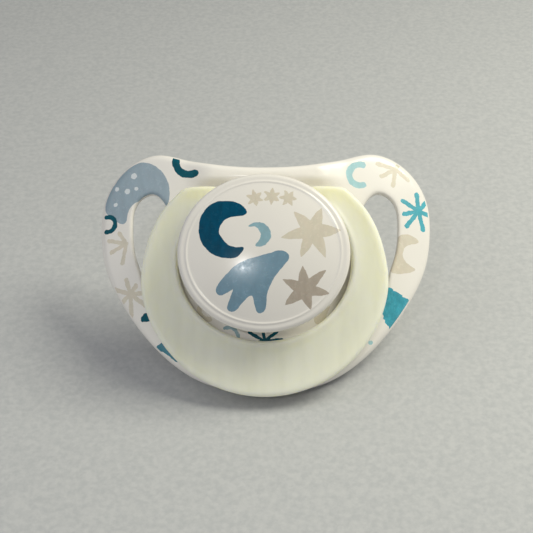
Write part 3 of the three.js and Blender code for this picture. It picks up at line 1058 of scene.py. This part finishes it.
def make_ring():
    skin = Skin()
    around = np.linspace(0, FULL_TURN, RING_STATIONS, endpoint=False)
    outline, hole = ring_loops()
    reaches = np.column_stack([reach(hole, around), reach(outline, around)])
    for _ in range(RING_SMOOTHING):
        reaches = (np.roll(reaches, 1, 0) + 2 * reaches + np.roll(reaches, -1, 0)) / 4
    rings = [skin.add(ring_section(angle, *ends)) for angle, ends in zip(around, reaches)]
    skin.chain([*rings, rings[0]])
    skin.build("ring_band", [ring_cream], "ring", replaces=("ring",), crease=60)


# ---------------- plug and button


def oval(start, end):
    """What y is multiplied by: round inside the first radius, the button's oval outside the second."""
    return lambda r: 1 - (1 - BUTTON_SQUASH) * float(smooth((r - start) / (end - start)))


# Skirt, snap bead, head and socket: radius, height and fillet of each corner, from the bottom to the inside.
PLUG_PROFILE = [
    (0, -6.6, 0), (3.4, -6.6, 0.5), (3.4, -1.2, 0.3), (8.2, -1.2, 0.2), (8.9, -0.85, 0.15), (8.2, -0.45, 0.2),
    (8.2, 4.3, 0.5), (14.5, 4.3, 0.6), (14.5, 5.6, 0.2), (6.7, 5.6, 0.3),
    (6.7, 0.6, 0.3), (2.2, 0.6, 0.3), (2.2, -5.6, 0.3), (0, -5.6, 0),
]


def make_plug():
    skin = Skin()
    lathe(skin, soften(PLUG_PROFILE), oval(9, 12))
    skin.build("plug_body", [button_white], "body", replaces=("plug",))


CAP_FILLET = 0.85
CAP_SHOULDER = 7.15
BEAD_RADIUS = 13.25  # of the fine raised line round the face
CAP_SIDES = 150
CAP_STEP = 0.6

# The cap's side, its underside with the spigot that goes into the plug, and its inside: radius and height.
CAP_PROFILE = [
    (14.8, 6.2), (14.8, 6.02), (14.68, 5.9), (13.7, 5.9), (13.5, 6.05), (13.4, 6.2), (11.5, 6.6), (6.4, 7.1),
    (6.4, 3.4), (6.75, 3.15), (6.75, 2.9), (6.4, 2.6), (6.4, 2.1), (6.1, 1.8), (5.3, 1.8), (5.1, 2.0),
    (5.1, 7.2),
]
CAP_CEILING = 7.3


def cap_height(p):
    """Height of the cap's crown, fine line and rounded edge."""
    rho = np.hypot(p[:, 0], p[:, 1] / BUTTON_SQUASH)
    inner = np.minimum(rho, BEAD_RADIUS)
    crown = CAP_SHOULDER + (CROWN - CAP_SHOULDER) * (1 - (inner / BEAD_RADIUS) ** 2)
    line = 0.13 * hump(rho, BEAD_RADIUS, 0.2) - 0.06 * smooth((rho - BEAD_RADIUS) / 0.6)
    over = np.clip(rho - BUTTON_RADIUS + CAP_FILLET, 0, CAP_FILLET - 1e-4)
    return crown + line - (CAP_FILLET - np.sqrt(CAP_FILLET**2 - over**2))


def button_oval(radius):
    return circle(radius, CAP_SIDES) * (1, BUTTON_SQUASH)


def make_cap():
    skin = Skin()
    radii = [BUTTON_RADIUS - CAP_FILLET * (1 - math.sin(a)) for a in np.radians([70, 58, 45, 30, 15, 0])]
    radii += [BEAD_RADIUS + 0.1 * k for k in range(-4, 5)]
    edge = BUTTON_RADIUS - 0.03
    lines = [(button_oval(r), True) for r in radii]
    loop = fill(skin, [button_oval(edge)], cap_height, CAP_STEP, lines=lines, prints=BUTTON_PRINTS)[0]
    ways = skin.flat(loop) / edge
    squash = oval(7, 11)
    rings = [loop]
    for r, z in CAP_PROFILE:
        at = ways * r
        at[:, 1] *= squash(r) / BUTTON_SQUASH
        rings.append(skin.lift(at, z))
    skin.chain(rings)
    skin.fan(rings[-1], skin.add([(0, 0, CAP_CEILING)])[0])
    skin.build("button_dome", [button_white, *inks], "body", replaces=("button_cap",), crease=50)


# ---------------- teat

# Sections: distance behind the face, half width, half height up, half height down, and the middle's y.
TEAT = np.array([
    (3.1, 5.6, 5.6, 5.6, 0), (6.5, 5.4, 5.3, 5.3, 0), (10, 4.9, 4.4, 4.4, 0), (13.5, 5.3, 4.2, 4.2, 0.3),
    (16.5, 6.6, 4.8, 5, 0.9), (20, 8.1, 5.8, 5.2, 1.8), (23.5, 8.9, 6.2, 5.2, 2.8), (27, 8.8, 5.8, 5.2, 3.9),
    (29.5, 8, 4.8, 4.8, 4.8), (31.2, 6.4, 3.3, 3.8, 5.4), (32.1, 3.9, 1.7, 2.1, 5.8),
])
TEAT_SIDES = 96
TEAT_WALL = 1.4
TEAT_TIP = 32.2  # distance behind the face
TEAT_FLAT = 0.8  # the bulb's tongue side is cut flat at this share of its depth
TEAT_FLAT_FROM, TEAT_FLAT_FADE = 13, 4
TEAT_INSIDE_START, TEAT_INSIDE_SHARE = 1.6, 0.952  # the inside is this much shorter than the outside

# The flange that the plug clamps: radius and height.
TEAT_FLANGE = [
    (4.3, -1.5), (7.9, -1.5), (8.12, -1.58), (8.2, -1.8), (8.2, -2.8), (8.12, -3.02), (7.9, -3.1),
    (6.0, -3.1), (5.72, -3.2),
]


def natural(x, xs, ys):
    """A natural cubic spline through (xs, ys), at x."""
    n = len(xs)
    h = np.diff(xs)
    system = np.eye(n)
    right = np.zeros(n)
    for i in range(1, n - 1):
        system[i, i - 1 : i + 2] = h[i - 1], 2 * (h[i - 1] + h[i]), h[i]
        right[i] = 6 * ((ys[i + 1] - ys[i]) / h[i] - (ys[i] - ys[i - 1]) / h[i - 1])
    bend = np.linalg.solve(system, right)
    i = min(max(np.searchsorted(xs, x) - 1, 0), n - 2)
    a, b = (xs[i + 1] - x) / h[i], (x - xs[i]) / h[i]
    return a * ys[i] + b * ys[i + 1] + ((a**3 - a) * bend[i] + (b**3 - b) * bend[i + 1]) * h[i] ** 2 / 6


def teat_ring(depth, wall, z):
    """The section at a depth, drawn in by the wall, as points at height z."""
    wide, up, down, middle = (natural(depth, TEAT[:, 0], column) for column in TEAT.T[1:])
    flat = TEAT_FLAT + (1 - TEAT_FLAT) * (1 - smooth((depth - TEAT_FLAT_FROM) / TEAT_FLAT_FADE))
    ring = []
    for a in np.arange(TEAT_SIDES) * FULL_TURN / TEAT_SIDES:
        x, y = math.cos(a), math.sin(a)
        if y < 0:
            # A soft minimum of the round side and the flat.
            y = -((abs(y) + 1e-6) ** -10 + flat**-10) ** -0.1
        half = (up if y > 0 else down) - wall
        ring.append(((wide - wall) * x, middle + half * y, z))
    return ring


def make_teat():
    skin = Skin()
    flange = [skin.lift(circle(r, TEAT_SIDES), z) for r, z in TEAT_FLANGE]
    depths = np.r_[np.linspace(3.5, 30, 40), 30.5, 31, 31.4, 31.7, 31.95, 32.1]
    outside = [skin.add(teat_ring(depth, 0, -depth)) for depth in depths]
    hollow = []
    for depth in depths[:-2:2]:
        inside_depth = TEAT_INSIDE_START + (depth - TEAT_INSIDE_START) * TEAT_INSIDE_SHARE
        hollow.append(skin.add(teat_ring(depth, TEAT_WALL, -inside_depth)))
    skin.chain([*reversed(hollow), *flange, *outside])

    last = np.array([skin.points[i] for i in outside[-1]])
    middle = last.mean(axis=0)
    tip = [outside[-1]]
    for scale, depth in ((0.8, 32.17), (0.5, TEAT_TIP), (0.2, TEAT_TIP)):
        at = middle + (last - middle) * scale
        at[:, 2] = -depth
        tip.append(skin.add(at))
    skin.chain(tip)
    skin.fan(tip[-1], skin.add([(*middle[:2], -TEAT_TIP)])[0])
    end = np.mean([skin.points[i] for i in hollow[-1]], axis=0)
    skin.fan(hollow[-1], skin.add([end - (0, 0, 0.5)])[0])
    skin.build("teat_skin", [teat_silicone], "body", replaces=("teat",), crease=60)


make_shield()
make_saddles()
make_ring()
make_plug()
make_cap()
make_teat()

# ---------------- floor, light and camera


FLOOR_HALF = 3.0  # metres


def make_floor():
    corners = [(x * FLOOR_HALF, y * FLOOR_HALF, 0) for x, y in ((-1, -1), (1, -1), (1, 1), (-1, 1))]
    mesh = bpy.data.meshes.new("floor")
    mesh.from_pydata(corners, [], [(0, 1, 2, 3)])
    finish = Finish("floor_paper")
    cloud = finish.noise(900, detail=4, rough=0.6)
    finish.base(finish.colour(cloud, [(0.35, linear(176, 178, 180)), (0.65, linear(188, 189, 190))]))
    finish.roughness(finish.noise(300), 0.75, 0.9)
    finish.relief(cloud, 0.02, 0.4)
    mesh.materials.append(finish.material)
    floor = new_object("floor", mesh)


def look_at(place, target, up):
    """The matrix of an object at one place whose -Z axis points at the target."""
    back = (Vector(place) - Vector(target)).normalized()
    right = Vector(up).cross(back).normalized()
    matrix = Matrix((right, back.cross(right), back)).transposed().to_4x4()
    matrix.translation = place
    return matrix


# Name, place in the pacifier's axes, size in metres, power in watts and colour: a warm key from the upper
# right, a cool fill from the left, a faint one from the upper left and a small one for the button's glint.
LIGHTS = [
    ("key", (215, 215, 140), 0.2, 1.07, (1, 0.985, 0.83)),
    ("fill", (-230, 0, 170), 0.3, 0.14, (0.97, 1, 1)),
    ("back", (-160, 190, 150), 0.2, 0.05, (1, 1, 1)),
    ("spark", (-70, 3, 400), 0.014, 0.15, (1, 1, 1)),
]


def area_light(name, place, size, power, colour):
    data = bpy.data.lights.new(name, "AREA")
    data.shape = "DISK"
    data.size = size
    data.energy = power
    data.color = colour
    light = new_object(name, data)
    light.matrix_world = look_at(to_row([place])[0], to_row([(0, 0, 0)])[0], (0, 0.3, 1))


# Camera: how far it is below and beside the line straight out of the face, in degrees, what it looks at, how
# far away it is, and its lens.
CAMERA_BELOW, CAMERA_BESIDE = 6.8, 1.0
CAMERA_AIM = (0.36, -1.62, 0)
CAMERA_DISTANCE = 228.2
CAMERA_LENS, CAMERA_SENSOR = 87.85, 36


def make_camera():
    back = np.array([math.sin(math.radians(CAMERA_BESIDE)), -math.sin(math.radians(CAMERA_BELOW)), 0])
    back[2] = math.sqrt(1 - back @ back)
    place = np.array(CAMERA_AIM) + CAMERA_DISTANCE * back
    data = bpy.data.cameras.new("camera")
    data.sensor_width = CAMERA_SENSOR
    data.lens = CAMERA_LENS
    data.clip_start = 0.01
    camera = new_object("camera", data)
    camera.matrix_world = look_at(to_row([place])[0], to_row([CAMERA_AIM])[0], TURN @ np.array([0, 1, 0]))
    bpy.context.scene.camera = camera


SKY_COLOUR, SKY_STRENGTH = (0.97, 0.97, 1, 1), 0.27


def make_world():
    world = bpy.data.worlds.new("studio")
    world.use_nodes = True
    background = world.node_tree.nodes["Background"]
    background.inputs["Color"].default_value = SKY_COLOUR
    background.inputs["Strength"].default_value = SKY_STRENGTH
    bpy.context.scene.world = world


make_floor()
for light in LIGHTS:
    area_light(*light)
make_world()
make_camera()
bpy.context.scene.view_settings.view_transform = "Standard"
bpy.context.scene.view_settings.look = "None"
